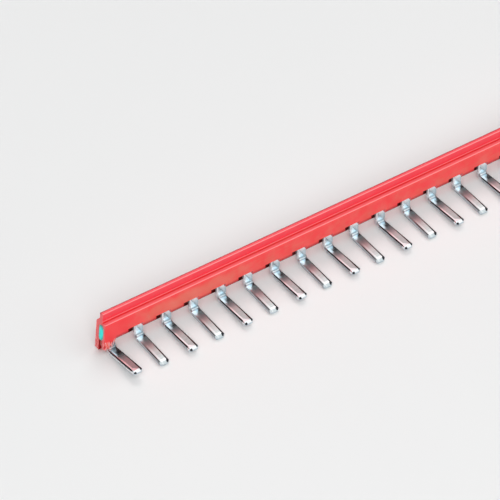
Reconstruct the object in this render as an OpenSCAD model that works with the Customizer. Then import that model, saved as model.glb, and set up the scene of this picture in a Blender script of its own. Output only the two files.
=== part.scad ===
// Jumper bar for a row of terminal blocks: a stamped comb of bent contact pins whose spine is
// held in an extruded insulating profile. Every other pin is set a little high. The bar has been
// cut to length by hand at its left end, where the front wall is torn and the cut is dabbed with
// sealing lacquer.
// Sizes are in millimetres. X runs along the bar, the pins point to -Y and Z is up.
// The bar stands on the undersides of its level pins at Z = 0.

/* [Row of pins] */
// Number of pins along the bar
pin_count = 20; // [2:1:40]
// Distance from one pin to the next
pitch = 6.2; // [4.5:0.1:12]
// Distance from the foot of the cut left end to the middle of the first pin
first_pin = 2.3; // [1.5:0.1:4]
// Width of a pin
pin_width = 2; // [1.2:0.1:3]
// Reach of a level pin in front of the face of its neck
pin_reach = 8.9; // [5:0.1:14]
// Reach of a raised pin in front of the face of its neck
raised_reach = 9.4; // [5:0.1:14]
// Inner radius of the bend between neck and pin
bend_radius = 0.4; // [0.2:0.05:1]
// Rounding along the edges of a pin
edge_round = 0.3; // [0.05:0.05:0.4]
// Rise of every other pin above the level ones, in degrees
raised_angle = 4.5; // [0:0.5:8]
// Further rise of the first pin, in degrees
first_rise = 5.5; // [0:0.5:6]
// Length of the bevel on the top and bottom of a pin's tip
tip_bevel = 0.45; // [0.1:0.05:1]
// Depth of the bevel on the top of a pin's tip
tip_depth = 0.35; // [0.1:0.05:0.6]
// Bevel across the two corners of a pin's tip
tip_corner = 0.35; // [0.1:0.05:0.9]

/* [Strip] */
// Thickness of the metal strip
strip_thick = 0.9; // [0.6:0.05:1.6]
// Height of the lower edge of the spine above the floor
neck_height = 3.75; // [3:0.1:8]
// Height of the spine
spine_height = 3.4; // [2:0.1:6]

/* [Insulating profile] */
// Thickness of the front wall
front_wall = 0.75; // [0.4:0.05:1.5]
// Thickness of the back wall
back_wall = 1.3; // [0.6:0.05:2]
// Thickness of the roof over the spine
roof = 0.75; // [0.5:0.05:2]
// Reach of the front wall below the spine
front_skirt = 0.3; // [0:0.05:1]
// Clear height of the back leg above the floor
leg_clear = 1.6; // [0.8:0.05:2.5]
// Rounding of the outer edges of the walls
wall_round = 0.25; // [0.1:0.05:0.5]

/* [Ridge] */
// Height of the ridge above the front shoulder
ridge_height = 2; // [1:0.05:4]
// Width of the ridge
ridge_width = 0.95; // [0.6:0.05:2]
// Distance of the ridge behind the front face
ridge_set = 1; // [0.4:0.05:1.2]
// Rounding of the top edges of the ridge
ridge_round = 0.3; // [0.05:0.05:0.4]
// Height of the foot along the front of the ridge
foot_height = 0.3; // [0.1:0.02:0.8]
// Step of the foot in front of the ridge
foot_step = 0.08; // [0.04:0.02:0.3]
// Width of the groove in front of the foot
groove_width = 0.2; // [0.1:0.05:0.3]
// Depth of the groove
groove_depth = 0.25; // [0.1:0.05:0.4]
// Height of the back face of the ridge
back_face = 1.4; // [0.5:0.05:3]
// Fall of the sloping back shoulder
back_slope = 1.2; // [0.3:0.05:2]

/* [Slots for the necks] */
// Height of a slot in the front wall
slot_height = 0.95; // [0.4:0.05:2]
// Open width of a slot to the left of its pin
slot_gap = 1.85; // [0.2:0.05:2]
// Distance by which a slot stops short of the right edge of its pin
slot_stop = 0.5; // [0:0.05:1]

/* [Cut left end] */
// Lean of the cut along the bar, in degrees
cut_lean = 5.4; // [0:0.2:10]
// Width of the torn tongue of the front wall
tongue_width = 2.5; // [1:0.1:4]
// Clear height of the torn tongue above the bend of the first pin
tongue_clear = 0.3; // [0.1:0.05:1]
// Width of the torn tongue of the back leg
leg_tongue_width = 1.6; // [0.8:0.1:3]
// Drop of the torn tongue of the back leg
leg_tongue_drop = 0.9; // [0.1:0.05:1.4]
// Width of the dab of sealing lacquer
seal_width = 1.5; // [0.8:0.1:2]
// Height of the dab of sealing lacquer
seal_height = 3.4; // [2:0.1:5]
// Thickness of the dab at its middle
seal_thick = 0.18; // [0.05:0.01:0.3]

/* [Hidden] */
arc_fn = 16;
bend_fn = 48;
// Distance that a cut runs past what it cuts.
over = 1;

bar_length = pin_count * pitch;
left_end = -bar_length / 2;
spine_top = neck_height + spine_height;
skirt_z = neck_height - front_skirt;
shoulder_z = spine_top + roof;
ridge_z = shoulder_z + ridge_height;
ridge_y = ridge_set - front_wall;
back_y = strip_thick + back_wall;
back_foot_z = ridge_z - back_face;
tongue_drop = max(0.1, skirt_z - strip_thick - bend_radius - tongue_clear);
cut_foot_z = max(0.1, leg_clear - leg_tongue_drop);
turn_radius = bend_radius + strip_thick / 2;
bend_outer = bend_radius + strip_thick;
// The necks run up into the middle of the spine.
neck_length = neck_height + spine_height / 2 - bend_outer;
// The necks' front face lies at zero in the sections, and the bar is centred on its depth.
depth_shift = (max(pin_reach, raised_reach) - back_y) / 2;

function pin_x(i) = left_end + first_pin + i * pitch;
// Straight run of a pin after a bend of the given turn, so that its end face reaches so far.
function pin_run(turn, reach) =
    (reach - bend_radius + (bend_outer - tip_depth / 2) * cos(turn)) / sin(turn);

// Corner piece to take off material that lies towards +x and +y of the origin.
module corner_off(r) {
    difference() {
        translate([-r, -r] / 4) square(1.25 * r);
        translate([r, r]) circle(r, $fn = arc_fn);
    }
}

// Wedge of a bend's corner, from the bend's centre to the two tangents at a radius.
module bend_corner(turn, radius) {
    polygon([
        [0, 0], [radius, 0], [radius, -radius * tan(turn / 2)],
        [radius * cos(turn), -radius * sin(turn)]
    ]);
}

// Outline of a neck and its pin seen from the side, around the centre of the bend between them.
module pin_outline(turn, run) {
    past = bend_outer * tan(turn / 2) + over / 2;
    difference() {
        union() {
            translate([bend_radius, -past]) square([strip_thick, neck_length + past]);
            rotate(-turn)
                polygon([
                    [bend_radius, past], [bend_outer, past], [bend_outer, tip_bevel - run],
                    [bend_outer - tip_depth / 2, -run], [bend_radius + tip_depth, -run],
                    [bend_radius, tip_bevel - run]
                ]);
            difference() {
                bend_corner(turn, turn_radius);
                circle(bend_radius, $fn = bend_fn);
            }
        }
        difference() {
            bend_corner(turn, bend_outer + over);
            circle(bend_outer, $fn = bend_fn);
        }
    }
}

// Section of what is taken off the two edges of the strip at a distance from the bend's centre,
// flipped where the metal lies nearer to the centre.
module edge_section(radius, flip) {
    for (s = [0, 1])
        mirror([0, s])
            translate([radius, -pin_width / 2])
                mirror([flip, 0]) corner_off(edge_round);
}

// What is taken off two edges along the neck, the bend and the pin. The straight cuts run on past
// the bend by a lap on its outside, and the bend's cut runs on by an angle on its inside.
module edge_cut(turn, run, radius, flip, lap, lap_angle) {
    translate([0, -lap, 0])
        rotate([-90, 0, 0]) linear_extrude(neck_length + lap) edge_section(radius, flip);
    rotate([0, 0, -turn - lap_angle])
        rotate_extrude(angle = turn + 2 * lap_angle, $fn = bend_fn) edge_section(radius, flip);
    rotate([0, 0, -turn])
        translate([0, lap, 0])
            rotate([90, 0, 0]) linear_extrude(run + lap + over) edge_section(radius, flip);
}

// One pin with its neck, standing at x = 0 with the face of its neck at y = 0.
module pin(turn, reach) {
    run = pin_run(turn, reach);
    translate([0, -bend_radius, bend_outer])
        rotate([90, 0, 90])
            difference() {
                linear_extrude(pin_width, center = true) pin_outline(turn, run);
                edge_cut(turn, run, bend_outer, flip = 1, lap = edge_round, lap_angle = 0);
                edge_cut(turn, run, bend_radius, flip = 0, lap = 0, lap_angle = 15);
                rotate([0, 0, -turn])
                    for (s = [-1, 1])
                        translate([turn_radius, -run, s * pin_width / 2])
                            rotate([0, 90, 0])
                                cylinder(r = tip_corner, h = strip_thick + over, center = true, $fn = 4);
            }
}

// Stock taken away beyond the leaning cut at the left end.
module end_cut() {
    translate([left_end, 0, cut_foot_z])
        rotate([0, cut_lean, 0])
            translate([-pitch, -front_wall - over, -cut_foot_z - over])
                cube([pitch, front_wall + back_y + 2 * over, ridge_z + 2 * over]);
}

// Section of the insulating profile, depth by height.
module profile_section() {
    difference() {
        union() {
            polygon([
                [-front_wall, skirt_z], [-front_wall, shoulder_z],
                [ridge_y, shoulder_z], [ridge_y, ridge_z],
                [ridge_y + ridge_width, ridge_z], [ridge_y + ridge_width, back_foot_z],
                [back_y, back_foot_z - back_slope], [back_y, leg_clear],
                [strip_thick, leg_clear], [strip_thick, spine_top],
                [0, spine_top], [0, skirt_z]
            ]);
            translate([ridge_y - foot_step, shoulder_z - groove_depth])
                square([foot_step + ridge_width / 4, groove_depth + foot_height]);
        }
        translate([ridge_y - foot_step - groove_width, shoulder_z - groove_depth])
            square([groove_width, groove_depth + over]);
        translate([-front_wall, shoulder_z]) mirror([0, 1]) corner_off(wall_round);
        translate([-front_wall, skirt_z]) corner_off(wall_round);
        translate([ridge_y, ridge_z]) mirror([0, 1]) corner_off(ridge_round);
        translate([ridge_y + ridge_width, ridge_z])
            mirror([1, 0]) mirror([0, 1]) corner_off(ridge_round);
        translate([back_y, leg_clear]) mirror([1, 0]) corner_off(wall_round);
        translate([strip_thick, leg_clear]) corner_off(wall_round / 2);
    }
}

// Torn tongue that hangs from a wall at the cut end, w wide and d deep, drawn in its front view.
module tongue_outline(w, d) {
    polygon([
        [0, wall_round], [w, wall_round], [w, 0], [0.84 * w, -0.35 * d], [0.68 * w, -0.58 * d],
        [0.54 * w, -0.97 * d], [0.36 * w, -0.84 * d], [0.24 * w, -d], [0.1 * w, -0.78 * d],
        [0, -0.86 * d]
    ]);
}

module insulating_profile() {
    color([0.93, 0.26, 0.28])
        translate([0, depth_shift, 0])
            difference() {
                union() {
                    translate([left_end, 0, 0])
                        rotate([90, 0, 90]) linear_extrude(bar_length) profile_section();
                    translate([left_end, 0, skirt_z])
                        rotate([90, 0, 0])
                            linear_extrude(front_wall) tongue_outline(tongue_width, tongue_drop);
                    translate([left_end, back_y, leg_clear])
                        rotate([90, 0, 0])
                            linear_extrude(back_wall)
                                tongue_outline(leg_tongue_width, leg_clear - cut_foot_z);
                }
                for (i = [1:pin_count - 1])
                    translate([pin_x(i) - pin_width / 2 - slot_gap, -front_wall - over, skirt_z - over])
                        cube([pin_width + slot_gap - slot_stop, front_wall + over, slot_height + over]);
                end_cut();
            }
}

module comb_strip() {
    color([0.78, 0.8, 0.83])
        translate([0, depth_shift, 0]) {
            difference() {
                translate([left_end, 0, neck_height])
                    cube([bar_length, strip_thick, spine_height]);
                end_cut();
            }
            for (i = [0:pin_count - 1])
                translate([pin_x(i), 0, 0])
                    if (i == 0) pin(90 + raised_angle + first_rise, raised_reach);
                    else if (i % 2 == 0) pin(90 + raised_angle, raised_reach);
                    else pin(90, pin_reach);
        }
}

// Thin dab with a domed face on the cut end of the spine.
module end_seal() {
    dome = (seal_width * seal_width / 4 + seal_thick * seal_thick) / (2 * seal_thick);
    color([0.18, 0.9, 0.83])
        translate([left_end, depth_shift + strip_thick / 2, cut_foot_z])
            rotate([0, cut_lean, 0])
                translate([0, 0, (neck_height + spine_height / 2 - cut_foot_z) / cos(cut_lean)])
                    intersection() {
                        translate([dome - seal_thick, 0, 0])
                            cylinder(r = dome, h = seal_height, center = true, $fn = 96);
                        rotate([90, 0, -90])
                            linear_extrude(seal_thick) {
                                square([seal_width, seal_height - seal_width], center = true);
                                for (s = [-1, 1])
                                    translate([0, s * (seal_height - seal_width) / 2])
                                        circle(d = seal_width, $fn = 32);
                            }
                    }
}

insulating_profile();
comb_strip();
end_seal();
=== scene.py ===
"""Finishes a terminal block jumper bar: red extruded plastic, plated pins, lacquer and a studio."""

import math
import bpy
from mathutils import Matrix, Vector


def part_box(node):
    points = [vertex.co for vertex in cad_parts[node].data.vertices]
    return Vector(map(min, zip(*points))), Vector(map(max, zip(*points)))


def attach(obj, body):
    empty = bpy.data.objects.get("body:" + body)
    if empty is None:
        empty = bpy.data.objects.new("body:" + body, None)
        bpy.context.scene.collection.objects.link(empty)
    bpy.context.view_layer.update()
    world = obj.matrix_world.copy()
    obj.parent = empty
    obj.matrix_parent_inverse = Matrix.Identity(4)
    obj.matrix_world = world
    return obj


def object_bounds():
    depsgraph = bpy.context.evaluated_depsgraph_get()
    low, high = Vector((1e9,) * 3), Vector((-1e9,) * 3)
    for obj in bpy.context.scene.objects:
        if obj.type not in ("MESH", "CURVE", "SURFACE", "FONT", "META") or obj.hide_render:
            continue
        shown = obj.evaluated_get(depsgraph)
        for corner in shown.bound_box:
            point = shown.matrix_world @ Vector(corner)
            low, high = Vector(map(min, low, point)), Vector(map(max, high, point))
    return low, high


bl_info = {
    "name": "Terminal Block Jumper Bar",
    "version": (1, 0, 0),
    "blender": (4, 5, 0),
    "location": "View3D > Sidebar > Jumper Bar",
    "description": "Gives a jumper bar its finishes and sets it on a pale studio floor",
    "category": "Object",
}

import bmesh
import bpy
from bpy.props import FloatProperty, FloatVectorProperty, PointerProperty
from mathutils import Matrix, Vector

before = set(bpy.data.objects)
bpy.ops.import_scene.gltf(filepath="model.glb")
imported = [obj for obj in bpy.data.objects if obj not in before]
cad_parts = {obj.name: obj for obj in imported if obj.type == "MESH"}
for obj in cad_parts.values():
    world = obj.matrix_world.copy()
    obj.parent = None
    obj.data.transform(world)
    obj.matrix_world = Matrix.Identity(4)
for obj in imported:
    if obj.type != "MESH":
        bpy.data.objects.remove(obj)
CAD_LOW, CAD_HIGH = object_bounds()
PROFILE_LOW, PROFILE_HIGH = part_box("insulating_profile")
SEAL_LOW, SEAL_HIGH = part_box("end_seal")
BODY = "root"
MM = 0.001

# Places on the profile in millimetres
LEFT_X = PROFILE_LOW.x / MM
FACE_Y = PROFILE_LOW.y / MM
NECK_Y = FACE_Y + 0.75
FOOT_Y = FACE_Y + 0.92
RIDGE_Y = FACE_Y + 1.475
RIDGE_Z = PROFILE_HIGH.z / MM
SHOULDER_Z = RIDGE_Z - 2.0
FOOT_Z = SHOULDER_Z + 0.3
SKIRT_Z = 3.45

# Places on the comb in millimetres, how far its pins reach from the necks, and how steeply they rise
SPINE_Z = 3.75
FIRST_PIN_X = -59.7
PITCH = 6.2
LEVEL_TIP = 8.9
RAISED_TIP = 9.4
RAISED_SLOPE = math.tan(math.radians(4.5))
FIRST_SLOPE = math.tan(math.radians(10.0)) - RAISED_SLOPE

# Shape of the torn fibres
FIBRE_STEPS = 10
FIBRE_SIDES = 8
FIBRE_TAPER = 0.85
FIBRE_FLATNESS = 0.45
FIBRE_FACING = Vector((0.3, -1, 0))

# Studio: lengths in metres, the floor's darker tint, and the heights between which the sky brightens
BOX_DISTANCE = 2.0
FLOOR_HALF_WIDTH = 1.5
FLOOR_GAP = 0.01 * MM
FLOOR_TINT = 0.985
SKY_RISE = (0.3, 0.85)


# Shader wiring


class Wire:
    """A socket of a node tree. Arithmetic on it adds Math nodes."""

    def __init__(self, tree, socket):
        self.tree = tree
        self.socket = socket

    def math(self, operation, *values):
        node = self.tree.nodes.new("ShaderNodeMath")
        node.operation = operation
        for socket, value in zip(node.inputs, values):
            feed(self.tree, socket, value)
        return Wire(self.tree, node.outputs[0])

    def __add__(self, other):
        return self.math("ADD", self, other)

    def __radd__(self, other):
        return self.math("ADD", other, self)

    def __sub__(self, other):
        return self.math("SUBTRACT", self, other)

    def __rsub__(self, other):
        return self.math("SUBTRACT", other, self)

    def __mul__(self, other):
        return self.math("MULTIPLY", self, other)

    def __rmul__(self, other):
        return self.math("MULTIPLY", other, self)

    def __neg__(self):
        return self.math("SUBTRACT", 0.0, self)

    def __abs__(self):
        return self.math("ABSOLUTE", self)

    def most(self, *others):
        """The largest of this value and the others."""
        largest = self
        for other in others:
            largest = self.math("MAXIMUM", largest, other)
        return largest


def feed(tree, socket, value):
    """Links a wire to a socket, or sets the socket's own value."""
    if isinstance(value, Wire):
        tree.links.new(value.socket, socket)
    else:
        socket.default_value = value


class Nodes:
    """A node tree that takes any node by its type, settings and inputs."""

    def __init__(self, tree):
        self.tree = tree

    def add(self, kind, settings=None, inputs=None, output=0):
        node = self.tree.nodes.new(kind)
        for name, value in (settings or {}).items():
            setattr(node, name, value)
        for name, value in (inputs or {}).items():
            socket = next(s for s in node.inputs if name in (s.identifier, s.name))
            feed(self.tree, socket, value)
        if isinstance(output, int):
            return Wire(self.tree, node.outputs[output])
        return Wire(self.tree, next(s for s in node.outputs if output in (s.identifier, s.name)))

    def split(self, vector):
        return [
            self.add("ShaderNodeSeparateXYZ", inputs={"Vector": vector}, output=axis)
            for axis in ("X", "Y", "Z")
        ]

    def stretch(self, vector, factors):
        return self.add(
            "ShaderNodeVectorMath", {"operation": "MULTIPLY"}, {"Vector": vector, "Vector_001": factors}
        )

    def noise(self, vector, scale, detail=3.0, roughness=0.5):
        return self.add(
            "ShaderNodeTexNoise",
            inputs={"Vector": vector, "Scale": scale, "Detail": detail, "Roughness": roughness},
        )

    def rise(self, value, low, high):
        """Smooth step from 0 at low to 1 at high, which may lie below low."""
        return self.add(
            "ShaderNodeMapRange",
            {"interpolation_type": "SMOOTHSTEP"},
            {"Value": value, "From Min": low, "From Max": high},
        )

    def band(self, value, middle, half_width):
        """1 at the middle of a band, falling smoothly to 0 at its borders."""
        return self.rise(abs(value - middle), half_width, 0.0)

    def mix(self, factor, first, second):
        return self.add(
            "ShaderNodeMix",
            {"data_type": "RGBA"},
            {"Factor_Float": factor, "A_Color": first, "B_Color": second},
            "Result_Color",
        )


class Finish(Nodes):
    """A material with a Principled shader, on the millimetres of its piece."""

    def __init__(self, name):
        self.material = bpy.data.materials.new(name)
        self.material.use_nodes = True
        super().__init__(self.material.node_tree)
        self.shader = self.tree.nodes["Principled BSDF"]
        place = self.add("ShaderNodeTexCoord", output="Object")
        self.place = self.stretch(place, (1 / MM, 1 / MM, 1 / MM))
        self.x, self.y, self.z = self.split(self.place)

    def facing(self):
        normal = self.add("ShaderNodeNewGeometry", output="Normal")
        return self.split(normal)

    def set(self, values):
        for name, value in values.items():
            feed(self.tree, self.shader.inputs[name], value)

    def bump(self, height, strength, distance_mm):
        normal = self.add(
            "ShaderNodeBump",
            inputs={"Strength": strength, "Distance": distance_mm * MM, "Height": height},
        )
        self.set({"Normal": normal})


def colour(rgb):
    return (*rgb, 1.0)


def dress(node_name, material):
    """Gives a CAD node its finish."""
    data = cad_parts[node_name].data
    data.materials.clear()
    data.materials.append(material)


# Red plastic


class ProfileFinish(Finish):
    """The plastic of the profile, with masks for its faces, edges and openings.

    The ranges of the masks are millimetres on the profile, or parts of its normal.
    """

    def __init__(self, name):
        super().__init__(name)
        self.nx, self.ny, self.nz = self.facing()
        self.from_end = self.x - LEFT_X
        self.drawn = self.noise(self.stretch(self.place, (0.02, 7.0, 7.0)), 1.0, 4.0, 0.6)
        in_front = self.rise(self.y, NECK_Y + 0.05, NECK_Y - 0.05)
        self.before_neck = in_front * self.rise(self.from_end, 2.6, 3.2)
        self.slot_side = self.before_neck * self.rise(-self.nx, 0.3, 0.6)
        behind = self.rise(self.y, RIDGE_Y - 0.2, RIDGE_Y + 0.25)
        self.back_rim = behind * self.rise(self.z, RIDGE_Z - 0.5, RIDGE_Z - 0.3)
        self.sawn = self.rise(-self.nx, 0.75, 0.95) * self.rise(self.from_end, 1.4, 1.2)

    def body(self, settings):
        """Mottled red with painted light across the middle of the front wall, a deeper red near the cut
        end, a painted sheen on the upward face at the top of the front wall, and another tone on the ridge.
        """
        mottle = self.noise(self.place, 0.4, 4.0, 0.55)
        # Painted light: a lighter band across the middle of the front wall, strongest about 20 mm from the
        # cut end; near the cut end it makes the red deeper instead
        painted_light = self.band(self.from_end, 20.0, 20.0) * self.band(self.z, 5.6, 2.6) * 0.35
        painted_light = painted_light + self.band(self.z, 4.7, 1.9) * self.rise(self.from_end, 6.0, 14.0) * 0.08
        painted_light = painted_light * self.rise(-self.ny, 0.3, 0.8)
        painted_light = painted_light - self.rise(self.from_end, 9.0, 3.0) * 0.2
        # How far the red goes from the deep tone to the light one: by the mottle and drawn lines, and by
        # the painted light
        shade = self.rise(self.drawn * 0.3 + mottle * 0.7 + painted_light, 0.35, 0.95)
        red = self.mix(shade, colour(settings.deep_red), colour(settings.light_red))
        # Painted sheen: a paler, pinker red on the upward face at the top of the front wall
        shoulder_sheen = self.rise(self.nz, 0.8, 0.95) * self.band(self.z, SHOULDER_Z, 0.2)
        red = self.mix(shoulder_sheen, red, colour(settings.shoulder_sheen))
        crown = self.rise(self.z, SHOULDER_Z + 0.05, FOOT_Z)
        return self.mix(crown, red, colour(settings.crimson))

    def shaded_rims(self):
        """The low rim of the front wall, the back rim of the ridge and the groove before its foot."""
        low_rim = self.before_neck * self.rise(self.z, SKIRT_Z + 0.95, SKIRT_Z + 0.2)
        low_rim = low_rim * (1.0 - self.slot_side)
        sunk = self.rise(self.z, SHOULDER_Z + 0.02, SHOULDER_Z - 0.05)
        groove = sunk * self.band(self.y, FOOT_Y - 0.1, 0.13)
        return (low_rim * 0.75).most(self.back_rim * 0.6, groove * 0.7)

    def painted_edge_highlights(self):
        """Painted highlights on the rounded front edges and along the foot of the ridge, painted light on
        the sides of the slots, and a paler sawn end, whitened by the cut.
        """
        rounded = self.rise(-self.ny, 0.3, 0.65) * self.rise(self.nz, 0.3, 0.65)
        foot = self.band(self.z, FOOT_Z, 0.13) * self.band(self.y, FOOT_Y, 0.16)
        return rounded.most(foot, self.sawn * (1.0 - self.back_rim) * 0.25, self.slot_side * 0.5)

    def openings(self):
        """Painted shade in the channel behind the slots, on the ceilings of the slots and at the mouth of
        the channel at the cut end.
        """
        channel = self.rise(-self.ny, 0.5, 0.9) * self.rise(self.y, NECK_Y + 0.5, NECK_Y + 0.8)
        channel = channel * self.rise(self.z, SHOULDER_Z, SHOULDER_Z - 0.5)
        ceiling = self.before_neck * self.rise(-self.nz, 0.5, 0.9)
        ceiling = ceiling * self.rise(self.z, SKIRT_Z + 0.3, SKIRT_Z + 0.6)
        mouth = self.sawn * self.rise(self.z, SKIRT_Z, SKIRT_Z - 0.4)
        mouth = mouth * self.band(self.y, NECK_Y + 0.55, 1.0)
        return channel.most(ceiling, mouth)

    def torn_corner(self, settings):
        """The low front corner by the cut end."""
        length = settings.torn_length / MM
        height = settings.torn_height / MM
        torn = self.rise(self.from_end, length, 0.5 * length)
        low = self.rise(self.z, height + 0.4, height - 0.6)
        return torn * low * self.rise(self.ny, 0.3, -0.3)


def red_plastic(settings):
    """Satin extruded vinyl: painted highlights on its edges, painted shade on its rims and in its channel,
    a pale sawn end and whitened tears.
    """
    finish = ProfileFinish("red_plastic")
    grain = finish.noise(finish.place, 14.0, 3.0, 0.6)
    rags = finish.noise(finish.stretch(finish.place, (2.6, 2.6, 1.0)), 1.0, 4.0, 0.65)

    red = finish.body(settings)
    red = finish.mix(finish.shaded_rims(), red, colour(settings.shaded))
    # Painted highlights on the rounded edges and the foot of the ridge, painted light on the slot sides,
    # and the whitened sawn end
    red = finish.mix(finish.painted_edge_highlights(), red, colour(settings.rubbed))
    # Painted shade in the channel and the slots, less dark at the cut end; it is also made metallic so that
    # it shows no pale sheen
    inner = finish.rise(finish.from_end, 1.0, 2.0)
    opening_shade = finish.mix(inner, colour(settings.open_slot), colour(settings.slot))
    dark = finish.openings()
    red = finish.mix(dark, red, opening_shade)
    ragged = finish.torn_corner(settings) * (1.0 - dark)
    # Painted shade between the torn fibres
    red = finish.mix(ragged * finish.rise(rags, 0.5, 0.4) * 0.6, red, colour(settings.shaded))
    whitened = ragged * finish.rise(rags, 0.48, 0.58)
    finish.set({
        "Base Color": finish.mix(whitened * 0.8, red, colour(settings.whitened)),
        "Metallic": dark * 0.9,
        "Roughness": 0.17 + finish.drawn * 0.1 + grain * 0.05 + whitened * 0.3 + dark * 0.3,
        "IOR": 1.5,
        "Specular IOR Level": 0.42,
    })
    finish.bump(finish.drawn * 0.6 + grain * 0.3 + whitened * 1.5, 0.25, 0.03)
    return finish.material


def torn_plastic(settings):
    """Stretched fibres of the plastic, white where they are drawn thin."""
    finish = Finish("torn_plastic")
    streaks = finish.noise(finish.stretch(finish.place, (4.0, 4.0, 0.9)), 1.0, 3.0, 0.6)
    white = finish.rise(streaks, 0.35, 0.62)
    finish.set({
        "Base Color": finish.mix(white, colour(settings.light_red), colour(settings.whitened)),
        "Roughness": 0.45 + streaks * 0.2,
    })
    finish.bump(streaks, 0.3, 0.03)
    return finish.material


# Plated metal


class CombFinish(Finish):
    """The plating of the comb, with masks for its pins, their faces and their wear.

    The ranges of the masks are millimetres on a pin, or parts of its normal.
    """

    def __init__(self, name):
        super().__init__(name)
        self.nx, self.ny, self.nz = self.facing()

        # Place on a pin: out from its neck, sideways from its middle, and up from its sloping underside
        self.reach = NECK_Y - self.y
        along = self.x - FIRST_PIN_X
        self.across = along.math("WRAP", along, PITCH / 2, -PITCH / 2)
        self.level = self.rise(along.math("PINGPONG", along, PITCH), 0.4 * PITCH, 0.6 * PITCH)
        self.raised = 1.0 - self.level
        self.first = self.rise(along, 3.2, 2.6)
        self.risen = self.z - self.reach * RAISED_SLOPE - self.first * self.reach * FIRST_SLOPE

        self.tilt = abs(self.nx)
        self.upward = self.rise(self.nz, 0.1, 0.3)
        self.top = self.rise(self.nz, 0.6, 0.9)
        self.sheared = self.rise(self.tilt, 0.85, 0.98)
        self.neck = self.rise(self.reach, 1.0, 0.5)
        self.outward = self.rise(self.reach, 5.5, 8.5)

        self.ripple = self.noise(self.stretch(self.place, (0.5, 5.0, 5.0)), 1.0, 3.0, 0.6)
        rubbed = 0.32 * self.rise(self.reach, 0.6, 1.4) + 0.68 * self.rise(self.reach, 2.2, 6.3)
        self.rubbed = self.top * rubbed * (1.0 - self.first * 0.4)
        # Painted dark reflection on the tops just past the bends of the raised pins and of the first pin;
        # it also trims the glint there
        raised_dark = self.raised * self.band(self.reach, 1.7, 1.1)
        raised_dark = raised_dark * self.rise(self.across, -0.52, -0.08) * 0.8
        first_dark = self.first * self.band(self.reach, 2.0, 1.6) * self.rise(self.across, -0.7, -0.3)
        self.before_bend = raised_dark.most(first_dark)

    def plating(self, settings):
        """Bright or blued, worn on the tops, grey on the sheared sides and silver on the necks, with
        painted light on the left edge and the top of each neck.
        """
        cloud = self.noise(self.place, 0.9, 3.0, 0.5)
        tone = self.mix(cloud, colour(settings.bright), colour(settings.blued))
        tone = self.mix(self.rubbed, tone, colour(settings.worn))
        tone = self.mix(self.sheared, tone, colour(settings.sheared))
        # Painted light: the left edge and the top of each neck take the highlight colour, the rest keeps
        # the silver
        shaded = self.rise(self.across, -0.9, 0.2) * self.rise(self.z, 3.4, 2.6)
        silver = self.mix(shaded, colour(settings.highlight_white), colour(settings.silver))
        return self.mix(self.neck * (1.0 - self.sheared * 0.6), tone, silver)

    def shade_and_marks(self):
        """Painted shade on the tops near the bar, just past the bends, on the tip bevels, on the first
        bend, on the right of the necks and on the sides, a painted shadow towards the tips of the raised
        pins, and darker marks on the worn tops.
        """
        # Painted shade on the tops near the bar, where the bar's shadow and dark reflection fall
        bar_shade = self.band(self.reach, 3.4, 2.8) * (0.36 - self.raised * 0.1)
        # Rippled darker marks on the worn tops, darker on the raised pins and darkest on the first pin
        top_marks = self.rise(self.ripple, 0.5, 0.7) * 0.25 + 0.08 + self.raised * 0.2 + self.first * 0.6
        shadow = self.raised * self.outward * self.rise(self.across, -0.3, 0.7) * 0.55
        on_top = self.top * bar_shade.most(self.rubbed * top_marks, shadow, self.before_bend)

        # Painted shade on the tip bevels, on the bend of the first pin under the torn plastic, and on the
        # right of each neck
        bevel = self.upward * self.rise(-self.ny, 0.3, 0.5)
        bevel = bevel * self.rise(self.reach, LEVEL_TIP - 0.9, LEVEL_TIP - 0.6) * 0.25
        first_bend = self.first * self.rise(self.reach, 1.4, 1.0) * self.rise(self.z, 2.4, 1.7) * 0.55
        first_bend = first_bend * self.rise(self.across, -0.6, -0.1)
        neck_side = self.neck * self.rise(self.across, 0.4, 0.85) * self.rise(self.z, 3.0, 2.6) * 0.25

        # Painted shade on the upper part of the sheared sides, and a painted contact shadow low on the
        # sides of the level pins near their bends
        upper_side = self.sheared * self.rise(self.z, 0.3, 0.8) * self.rise(self.reach, 2.0, 8.0)
        upper_side = upper_side * (0.3 + self.level * 0.25)
        low_side = self.level * self.sheared * self.rise(self.reach, 4.5, 2.0)
        low_side = low_side * self.rise(self.z, 0.5, 0.2) * 0.3
        return on_top.most(bevel, first_bend, neck_side) + upper_side + low_side

    def lights(self):
        """Painted highlights: glints on the bends, streaks along the tops, white tips, bright ends of the
        sides and the bright lower side of the first pin.
        """
        glint = self.top * self.band(self.across, -0.55, 0.6) * self.band(self.reach, 1.4, 1.8)
        glint = glint * (1.0 - self.before_bend)
        level_streak = self.level * self.rubbed * self.band(self.across, -0.48, 0.26) * 0.5
        raised_streak = self.raised * self.top * self.rise(self.reach, 1.0, 4.4)
        raised_streak = raised_streak * self.band(self.across, -0.66, 0.28)

        level_tip = self.level * self.rise(self.reach, LEVEL_TIP - 0.3, LEVEL_TIP - 0.5)
        level_tip = level_tip * self.rise(self.across, -0.78, -0.45)
        slanted = (self.reach - (RAISED_TIP - 1.2)) * 0.9 - self.across
        raised_tip = self.raised * self.rise(slanted, 0.0, 0.5)
        white_tip = self.top * level_tip.most(raised_tip)
        white_tip = white_tip * self.rise(self.reach, LEVEL_TIP - 1.2, LEVEL_TIP - 0.75)

        side_end = self.raised * self.sheared * self.rise(self.reach, RAISED_TIP - 1.1, RAISED_TIP - 0.8)
        first_side = self.first * self.sheared * self.rise(self.risen, 0.5, 0.4)
        return glint.most(level_streak, raised_streak, white_tip * 0.85, side_end, first_side)

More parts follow.
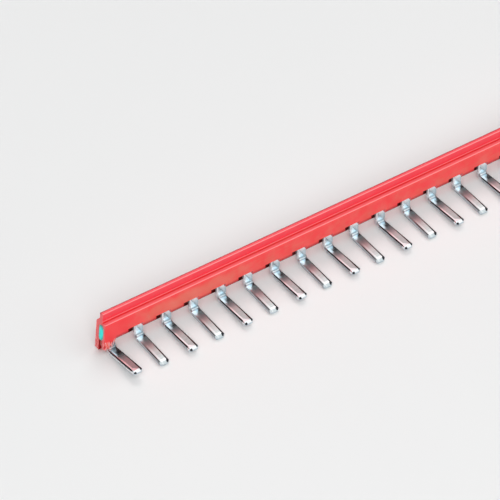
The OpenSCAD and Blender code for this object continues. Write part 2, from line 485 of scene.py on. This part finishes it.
    def painted_dark_rims(self):
        """Painted dark reflections along the rounded edges of the pins, on the upper left sides of the
        raised pins and on a corner of each tip, and painted shade on the part of the spine covered by the
        plastic.
        """
        left = self.rise(-self.across, 0.3, 0.5)
        rounded = self.rise(self.tilt - self.raised * left * 0.15, 0.12, 0.35)
        rounded = rounded * self.rise(self.tilt, 0.98, 0.9)
        ended = self.raised * left * self.rise(self.reach, RAISED_TIP - 1.0, RAISED_TIP - 0.8)
        rounded = rounded * self.rise(self.reach, 0.6, 1.3) * (1.0 - ended)
        near_edge = self.rise(self.across + self.outward * 0.1, 0.56, 0.72)
        near_edge = near_edge.most(self.level * self.rise(-self.across, 0.7, 0.84))
        near_edge = near_edge * self.rise(self.reach, 2.0, 5.0)
        near_edge = near_edge * self.rise(self.reach - self.raised * 0.9, LEVEL_TIP - 0.4, LEVEL_TIP - 0.6)
        rim = self.upward * rounded.most(near_edge)

        slanted = self.across * 0.7 + self.reach - (LEVEL_TIP - 0.7)
        right_corner = self.level * self.rise(slanted, 0.38, 0.56) * self.rise(self.across, 0.24, 0.46)
        right_corner = self.upward * right_corner * self.rise(self.reach, LEVEL_TIP - 1.1, LEVEL_TIP - 0.7)
        left_corner = self.raised * self.rise(-self.ny, 0.2, 0.3)
        left_corner = left_corner * self.rise(self.reach, RAISED_TIP - 0.34, RAISED_TIP - 0.24)
        left_corner = left_corner * self.rise(self.risen, 0.18, 0.34)
        left_corner = left_corner * self.rise(abs(self.across + 0.66), 0.28, 0.18)

        left_rim = self.raised * self.rise(-self.nx, 0.5, 0.8) * self.rise(self.reach, 2.6, 4.8)
        left_rim = left_rim * self.rise(self.reach, RAISED_TIP - 0.8, RAISED_TIP - 1.0)
        left_rim = left_rim * self.rise(self.risen + self.first * 0.1, 0.52, 0.68)
        # Painted shade on the spine inside the plastic, seen through the slots
        covered = self.rise(self.z, SPINE_Z - 0.05, SPINE_Z) * self.rise(abs(self.across), 1.0, 1.06)
        covered = covered * (1.0 - self.sheared)
        return rim.most(right_corner, left_corner, left_rim, covered)


def plated_metal(settings):
    """Plated strip: painted highlights at the bends and tips, rubbed matt towards the tips, painted shade
    near the bar and painted dark reflections along its rounded rims.
    """
    finish = CombFinish("plated_metal")
    rolled = finish.noise(finish.stretch(finish.place, (9.0, 0.5, 9.0)), 1.0, 4.0, 0.6)
    drag = finish.noise(finish.stretch(finish.place, (5.0, 2.0, 1.2)), 1.0, 3.0, 0.5)
    dragged = finish.sheared * drag
    bend = finish.rise(finish.reach, 0.8, 0.5) * finish.rise(finish.z, 1.7, 1.4)

    tone = finish.plating(settings)
    # Painted shade, and darker marks on the worn tops
    tone = finish.mix(finish.shade_and_marks(), tone, colour(settings.shade_and_mark_tone))
    # Painted highlights on the bends, along the tops, on the tips and on the sides
    tone = finish.mix(finish.lights(), tone, colour(settings.highlight_white))
    # Painted dark reflections along the rims and painted shade on the covered spine
    black = finish.painted_dark_rims()
    bare = 1.0 - finish.rubbed * settings.wear - finish.sheared * 0.4
    finish.set({
        "Base Color": finish.mix(black, tone, colour(settings.rim)),
        "Metallic": bare.most(black * 0.96),
        "Roughness": 0.1 + rolled * 0.06 + finish.ripple * 0.06 + dragged * 0.15 + bend * 0.2,
    })
    finish.bump(rolled * 0.4 + finish.ripple * 0.5 + dragged * 0.3, 0.12, 0.02)
    return finish.material


# Lacquer and floor


def turquoise_lacquer(settings):
    """A brushed-on dab, full in the middle and thin towards its rim."""
    finish = Finish("turquoise_lacquer")
    middle = (SEAL_LOW + SEAL_HIGH) / 2 / MM
    half = (SEAL_HIGH - SEAL_LOW) / 2 / MM
    across = (finish.y - middle.y) * (1 / half.y)
    up = (finish.z - middle.z) * (1 / half.z)
    rim = finish.rise(across * across + up * up, 0.3, 1.1)
    strokes = finish.noise(finish.stretch(finish.place, (2.0, 5.0, 1.5)), 1.0, 3.0, 0.6)
    finish.set({
        "Base Color": finish.mix(rim * 0.8 + strokes * 0.2, colour(settings.full), colour(settings.thin)),
        "Roughness": 0.25 + strokes * 0.2,
        "Specular IOR Level": 0.25,
    })
    finish.bump(strokes, 0.3, 0.05)
    return finish.material


def pale_floor(settings):
    """A matt paper sweep with a faint tooth."""
    finish = Finish("pale_floor")
    tooth = finish.noise(finish.place, 1.5, 3.0, 0.6)
    tint = finish.noise(finish.place, 0.02, 2.0, 0.5)
    white = colour(settings.floor_colour)
    shaded = colour([FLOOR_TINT * channel for channel in settings.floor_colour])
    finish.set({
        "Base Color": finish.mix(tint, white, shaded),
        "Roughness": 0.7 + tooth * 0.1,
        "Specular IOR Level": 0.2,
    })
    return finish.material


# Settings that a user would change


class PlasticSettings(bpy.types.PropertyGroup):
    deep_red: FloatVectorProperty(
        name="Deep red", description="Darker tone of the plastic", subtype="COLOR",
        size=3, min=0, max=1, default=(1.0, 0.052, 0.058),
    )
    light_red: FloatVectorProperty(
        name="Light red", description="Lighter tone of the plastic", subtype="COLOR",
        size=3, min=0, max=1, default=(0.87, 0.156, 0.112),
    )
    crimson: FloatVectorProperty(
        name="Crimson", description="Tone of the ridge", subtype="COLOR",
        size=3, min=0, max=1, default=(0.945, 0.049, 0.073),
    )
    # Colour of the painted sheen on the upward face at the top of the front wall
    shoulder_sheen: FloatVectorProperty(
        name="Shoulder", description="Tone of the top of the front wall", subtype="COLOR",
        size=3, min=0, max=1, default=(0.84, 0.117, 0.132),
    )
    # Colour of the painted highlights on the edges and the slot sides, and of the whitened sawn end
    rubbed: FloatVectorProperty(
        name="Rubbed", description="Tone of the rubbed edges and of the sawn end", subtype="COLOR",
        size=3, min=0, max=1, default=(1.0, 0.27, 0.285),
    )
    shaded: FloatVectorProperty(
        name="Shaded", description="Tone of the rims that are turned away", subtype="COLOR",
        size=3, min=0, max=1, default=(0.36, 0.02, 0.025),
    )
    # Colour of the painted shade inside the channel, behind the slots
    slot: FloatVectorProperty(
        name="Slot", description="Tone inside the channel, behind the slots", subtype="COLOR",
        size=3, min=0, max=1, default=(0.11, 0.004, 0.004),
    )
    # Colour of the painted shade inside the channel, at the cut end
    open_slot: FloatVectorProperty(
        name="Open slot", description="Tone inside the channel, at the cut end", subtype="COLOR",
        size=3, min=0, max=1, default=(0.5, 0.003, 0.006),
    )
    whitened: FloatVectorProperty(
        name="Whitened", description="Tone of the plastic where it was torn", subtype="COLOR",
        size=3, min=0, max=1, default=(0.95, 0.48, 0.46),
    )
    torn_length: FloatProperty(
        name="Torn length", description="Length of the torn stretch from the cut end",
        unit="LENGTH", min=0, default=3.4 * MM,
    )
    torn_height: FloatProperty(
        name="Torn height", description="Height below which the front wall is torn",
        unit="LENGTH", min=0, default=3.4 * MM,
    )


class MetalSettings(bpy.types.PropertyGroup):
    bright: FloatVectorProperty(
        name="Bright", description="Tone of the plating", subtype="COLOR",
        size=3, min=0, max=1, default=(0.66, 0.74, 0.78),
    )
    blued: FloatVectorProperty(
        name="Blued", description="Tone of the plating where it is thicker", subtype="COLOR",
        size=3, min=0, max=1, default=(0.58, 0.68, 0.74),
    )
    worn: FloatVectorProperty(
        name="Worn", description="Tone of the plating where it is rubbed", subtype="COLOR",
        size=3, min=0, max=1, default=(0.61, 0.7, 0.7),
    )
    sheared: FloatVectorProperty(
        name="Sheared", description="Tone of the sides where the strip was cut", subtype="COLOR",
        size=3, min=0, max=1, default=(0.5, 0.54, 0.58),
    )
    # Colour of the painted shade on the comb and of its darker marks
    shade_and_mark_tone: FloatVectorProperty(
        name="Stain", description="Tone of the dark marks on the comb", subtype="COLOR",
        size=3, min=0, max=1, default=(0.13, 0.13, 0.14),
    )
    silver: FloatVectorProperty(
        name="Silver", description="Tone of the necks and bends", subtype="COLOR",
        size=3, min=0, max=1, default=(0.69, 0.85, 0.93),
    )
    # Colour of the painted highlights, and of the lit part of the necks
    highlight_white: FloatVectorProperty(
        name="Polished", description="Tone of the glints, streaks and tips", subtype="COLOR",
        size=3, min=0, max=1, default=(0.95, 0.97, 1.0),
    )
    # Colour of the painted dark reflections on the rims and of the painted shade on the covered spine
    rim: FloatVectorProperty(
        name="Rim", description="Tone of the rounded edges and of the covered spine", subtype="COLOR",
        size=3, min=0, max=1, default=(0.02, 0.02, 0.024),
    )
    wear: FloatProperty(
        name="Wear", description="How matt the pins are rubbed towards their tips",
        min=0, max=1, default=0.88,
    )


class LacquerSettings(bpy.types.PropertyGroup):
    full: FloatVectorProperty(
        name="Full", description="Tone where the lacquer is thick", subtype="COLOR",
        size=3, min=0, max=1, default=(0.02, 1.0, 0.95),
    )
    thin: FloatVectorProperty(
        name="Thin", description="Tone where the lacquer is thin", subtype="COLOR",
        size=3, min=0, max=1, default=(0.12, 0.42, 0.38),
    )


class StageSettings(bpy.types.PropertyGroup):
    floor_colour: FloatVectorProperty(
        name="Floor", description="Colour of the floor", subtype="COLOR",
        size=3, min=0, max=1, default=(0.835, 0.838, 0.838),
    )
    front_power: FloatProperty(
        name="Front light", description="Power of the soft box before the bar",
        unit="POWER", min=0, default=30.0,
    )
    side_power: FloatProperty(
        name="Side light", description="Power of the soft box beside the bar",
        unit="POWER", min=0, default=13.0,
    )
    back_power: FloatProperty(
        name="Back light", description="Power of the soft box behind the bar",
        unit="POWER", min=0, default=13.5,
    )
    sky_zenith: FloatProperty(
        name="Sky", description="Strength of the light from above", min=0, default=0.2
    )
    sky_horizon: FloatProperty(
        name="Horizon", description="Strength of the light from the sides", min=0, default=0.03
    )
    azimuth: FloatProperty(
        name="Azimuth", description="Turn of the camera round the bar", subtype="ANGLE",
        default=math.radians(-34.32),
    )
    elevation: FloatProperty(
        name="Elevation", description="Height of the camera above the horizon", subtype="ANGLE",
        default=math.radians(42.78),
    )
    distance: FloatProperty(
        name="Distance", description="Distance of the camera from what it looks at",
        unit="LENGTH", default=0.652,
    )
    aim: FloatVectorProperty(
        name="Aim", description="Point that the camera looks at", unit="LENGTH", size=3,
        default=(-28.4 * MM, 3.6 * MM, 9.34 * MM),
    )
    lens: FloatProperty(
        name="Lens", description="Focal length of the camera in millimetres", min=1, default=248.67
    )


# Torn strands


# Start, bulge and end of each fibre in millimetres from the left end, the front face and the floor,
# and its half width
STRANDS = (
    ((2.9, 0.1, 3.65), (2.2, -0.1, 2.45), (1.35, -0.2, 1.3), 0.14),
    ((0.5, 0.1, 3.8), (0.85, -0.1, 2.8), (0.6, -0.12, 1.75), 0.15),
    ((1.0, 0.1, 3.3), (1.15, -0.12, 2.5), (0.85, -0.2, 1.55), 0.13),
    ((1.4, 0.1, 2.6), (1.25, -0.1, 1.9), (1.5, -0.15, 1.35), 0.09),
    ((0.75, 0.1, 2.9), (0.7, -0.08, 2.2), (0.35, -0.12, 1.45), 0.11),
    ((1.75, 0.1, 3.0), (1.65, -0.1, 2.5), (1.85, -0.18, 2.0), 0.09),
    ((1.9, 0.1, 3.4), (1.95, -0.1, 2.7), (1.6, -0.15, 1.9), 0.11),
    ((0.45, 1.2, 3.7), (0.25, 1.2, 2.7), (0.35, 1.15, 1.9), 0.15),
    ((0.35, 1.9, 1.15), (0.12, 1.1, 1.0), (0.4, 0.3, 1.75), 0.1),
    ((2.5, 0.1, 3.5), (2.5, -0.12, 3.2), (2.2, -0.18, 2.75), 0.08),
)


def fibre(bm, start, bulge, end, half_width):
    """Draws one flattened fibre that is extruded along a curve and grows thin towards its end."""
    corner = Vector((LEFT_X, FACE_Y, 0))
    start, bulge, end = ((corner + Vector(point)) * MM for point in (start, bulge, end))
    last = None
    face = None
    for step in range(FIBRE_STEPS + 1):
        t = step / FIBRE_STEPS
        place = start * (1 - t) ** 2 + bulge * (2 * t * (1 - t)) + end * t ** 2
        along = ((bulge - start) * (1 - t) + (end - bulge) * t).normalized()
        side = along.cross(FIBRE_FACING).normalized()
        width = half_width * MM * (1 - FIBRE_TAPER * t ** 2)
        turn = Matrix((side, along.cross(side), along)).transposed().to_4x4()
        ring = Matrix.Translation(place) @ turn @ Matrix.Diagonal((width, FIBRE_FLATNESS * width, width, 1))
        if face is None:
            made = bmesh.ops.create_circle(bm, cap_ends=True, segments=FIBRE_SIDES, radius=1.0, matrix=ring)
            face = made["verts"][0].link_faces[0]
        else:
            grown = bmesh.ops.extrude_face_region(bm, geom=[face])["geom"]
            face = next(item for item in grown if isinstance(item, bmesh.types.BMFace))
            bmesh.ops.transform(bm, matrix=ring @ last.inverted(), verts=face.verts)
        last = ring


def torn_strands(settings):
    """Draws the fibres as one piece that rides on the bar."""
    mesh = bpy.data.meshes.new("torn_strands")
    bm = bmesh.new()
    for strand in STRANDS:
        fibre(bm, *strand)
    bmesh.ops.recalc_face_normals(bm, faces=bm.faces)
    for face in bm.faces:
        face.smooth = True
    bm.to_mesh(mesh)
    bm.free()
    mesh.materials.append(torn_plastic(settings))
    strands = bpy.data.objects.new("torn_strands", mesh)
    bpy.context.scene.collection.objects.link(strands)
    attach(strands, BODY)


# Stage


def towards(azimuth, elevation):
    """Direction from the bar; azimuth 0 lies before the pins and a quarter turn to the right."""
    return Vector((
        math.sin(azimuth) * math.cos(elevation),
        -math.cos(azimuth) * math.cos(elevation),
        math.sin(elevation),
    ))


def soft_box(name, azimuth, elevation, size, power):
    """Square area light that looks at the middle of the picture. Its angles are in degrees."""
    data = bpy.data.lights.new(name, "AREA")
    data.shape = "SQUARE"
    data.size = size
    data.energy = power
    light = bpy.data.objects.new(name, data)
    bpy.context.scene.collection.objects.link(light)
    direction = towards(math.radians(azimuth), math.radians(elevation))
    light.location = Vector(bpy.context.scene.bar_stage.aim) + direction * BOX_DISTANCE
    light.rotation_euler = direction.to_track_quat("Z", "Y").to_euler()
    return light


def studio_lights(settings):
    """Three soft boxes. The front one isn't seen in the plating."""
    front = soft_box("front_box", azimuth=-36, elevation=46, size=1.5, power=settings.front_power)
    front.visible_glossy = False
    soft_box("side_box", azimuth=42, elevation=45, size=1.8, power=settings.side_power)
    soft_box("back_box", azimuth=142, elevation=58, size=1.3, power=settings.back_power)


def studio_sky(settings):
    """A dark room with a bright ceiling."""
    world = bpy.data.worlds.new("studio_sky")
    world.use_nodes = True
    nodes = Nodes(world.node_tree)
    direction = nodes.add("ShaderNodeTexCoord", output="Generated")
    height = nodes.split(direction)[2]
    gain = settings.sky_zenith - settings.sky_horizon
    strength = settings.sky_horizon + nodes.rise(height, *SKY_RISE) * gain
    background = world.node_tree.nodes["Background"]
    background.inputs["Color"].default_value = (1.0, 1.0, 1.0, 1.0)
    feed(world.node_tree, background.inputs["Strength"], strength)
    bpy.context.scene.world = world


def studio_floor(settings):
    """A flat sweep just under the pins."""
    mesh = bpy.data.meshes.new("studio_floor")
    bm = bmesh.new()
    bmesh.ops.create_grid(bm, x_segments=1, y_segments=1, size=FLOOR_HALF_WIDTH)
    bmesh.ops.translate(bm, verts=bm.verts, vec=(0, 0, CAD_LOW.z - FLOOR_GAP))
    bm.to_mesh(mesh)
    bm.free()
    mesh.materials.append(pale_floor(settings))
    floor = bpy.data.objects.new("studio_floor", mesh)
    bpy.context.scene.collection.objects.link(floor)


def studio_camera(settings):
    """A long lens from the photograph's angle."""
    data = bpy.data.cameras.new("studio_camera")
    data.sensor_width = 36
    data.lens = settings.lens
    data.clip_start = 0.01
    camera = bpy.data.objects.new("studio_camera", data)
    bpy.context.scene.collection.objects.link(camera)
    back = towards(settings.azimuth, settings.elevation)
    camera.location = Vector(settings.aim) + back * settings.distance
    camera.rotation_euler = (-back).to_track_quat("-Z", "Y").to_euler()
    bpy.context.scene.camera = camera


# Operators


class DressProfile(bpy.types.Operator):
    """Give the insulating profile its red plastic"""

    bl_idname = "jumper_bar.dress_profile"
    bl_label = "Dress Insulating Profile"

    def execute(self, context):
        dress("insulating_profile", red_plastic(context.scene.bar_plastic))
        return {"FINISHED"}


class DressComb(bpy.types.Operator):
    """Give the comb of pins its plating"""

    bl_idname = "jumper_bar.dress_comb"
    bl_label = "Dress Comb Strip"

    def execute(self, context):
        dress("comb_strip", plated_metal(context.scene.bar_metal))
        return {"FINISHED"}


class DressSeal(bpy.types.Operator):
    """Give the dab on the cut end its lacquer"""

    bl_idname = "jumper_bar.dress_seal"
    bl_label = "Dress End Seal"

    def execute(self, context):
        dress("end_seal", turquoise_lacquer(context.scene.bar_lacquer))
        return {"FINISHED"}


class BuildStrands(bpy.types.Operator):
    """Draw the torn fibres of plastic at the cut end"""

    bl_idname = "jumper_bar.build_strands"
    bl_label = "Build Torn Strands"

    def execute(self, context):
        torn_strands(context.scene.bar_plastic)
        return {"FINISHED"}


class BuildStage(bpy.types.Operator):
    """Set up the floor, the light and the camera"""

    bl_idname = "jumper_bar.build_stage"
    bl_label = "Build Stage"

    def execute(self, context):
        settings = context.scene.bar_stage
        studio_floor(settings)
        studio_sky(settings)
        studio_lights(settings)
        studio_camera(settings)
        context.scene.view_settings.view_transform = "Standard"
        return {"FINISHED"}


class JumperBarPanel(bpy.types.Panel):
    """Lists the steps and their settings"""

    bl_idname = "VIEW3D_PT_jumper_bar"
    bl_label = "Jumper Bar"
    bl_space_type = "VIEW_3D"
    bl_region_type = "UI"
    bl_category = "Jumper Bar"

    def draw(self, context):
        for operator in OPERATORS:
            self.layout.operator(operator.bl_idname)
        for name in SETTINGS:
            group = getattr(context.scene, name)
            for key in group.__annotations__:
                self.layout.prop(group, key)


SETTINGS = {
    "bar_plastic": PlasticSettings,
    "bar_metal": MetalSettings,
    "bar_lacquer": LacquerSettings,
    "bar_stage": StageSettings,
}
OPERATORS = (DressProfile, DressComb, DressSeal, BuildStrands, BuildStage)
CLASSES = (*SETTINGS.values(), *OPERATORS, JumperBarPanel)


def register():
    for cls in CLASSES:
        bpy.utils.register_class(cls)
    for name, group in SETTINGS.items():
        setattr(bpy.types.Scene, name, PointerProperty(type=group))


def unregister():
    for name in SETTINGS:
        delattr(bpy.types.Scene, name)
    for cls in reversed(CLASSES):
        bpy.utils.unregister_class(cls)


def main():
    register()
    bpy.ops.jumper_bar.dress_profile()
    bpy.ops.jumper_bar.dress_comb()
    bpy.ops.jumper_bar.dress_seal()
    bpy.ops.jumper_bar.build_strands()
    bpy.ops.jumper_bar.build_stage()


if __name__ == "__main__":
    main()
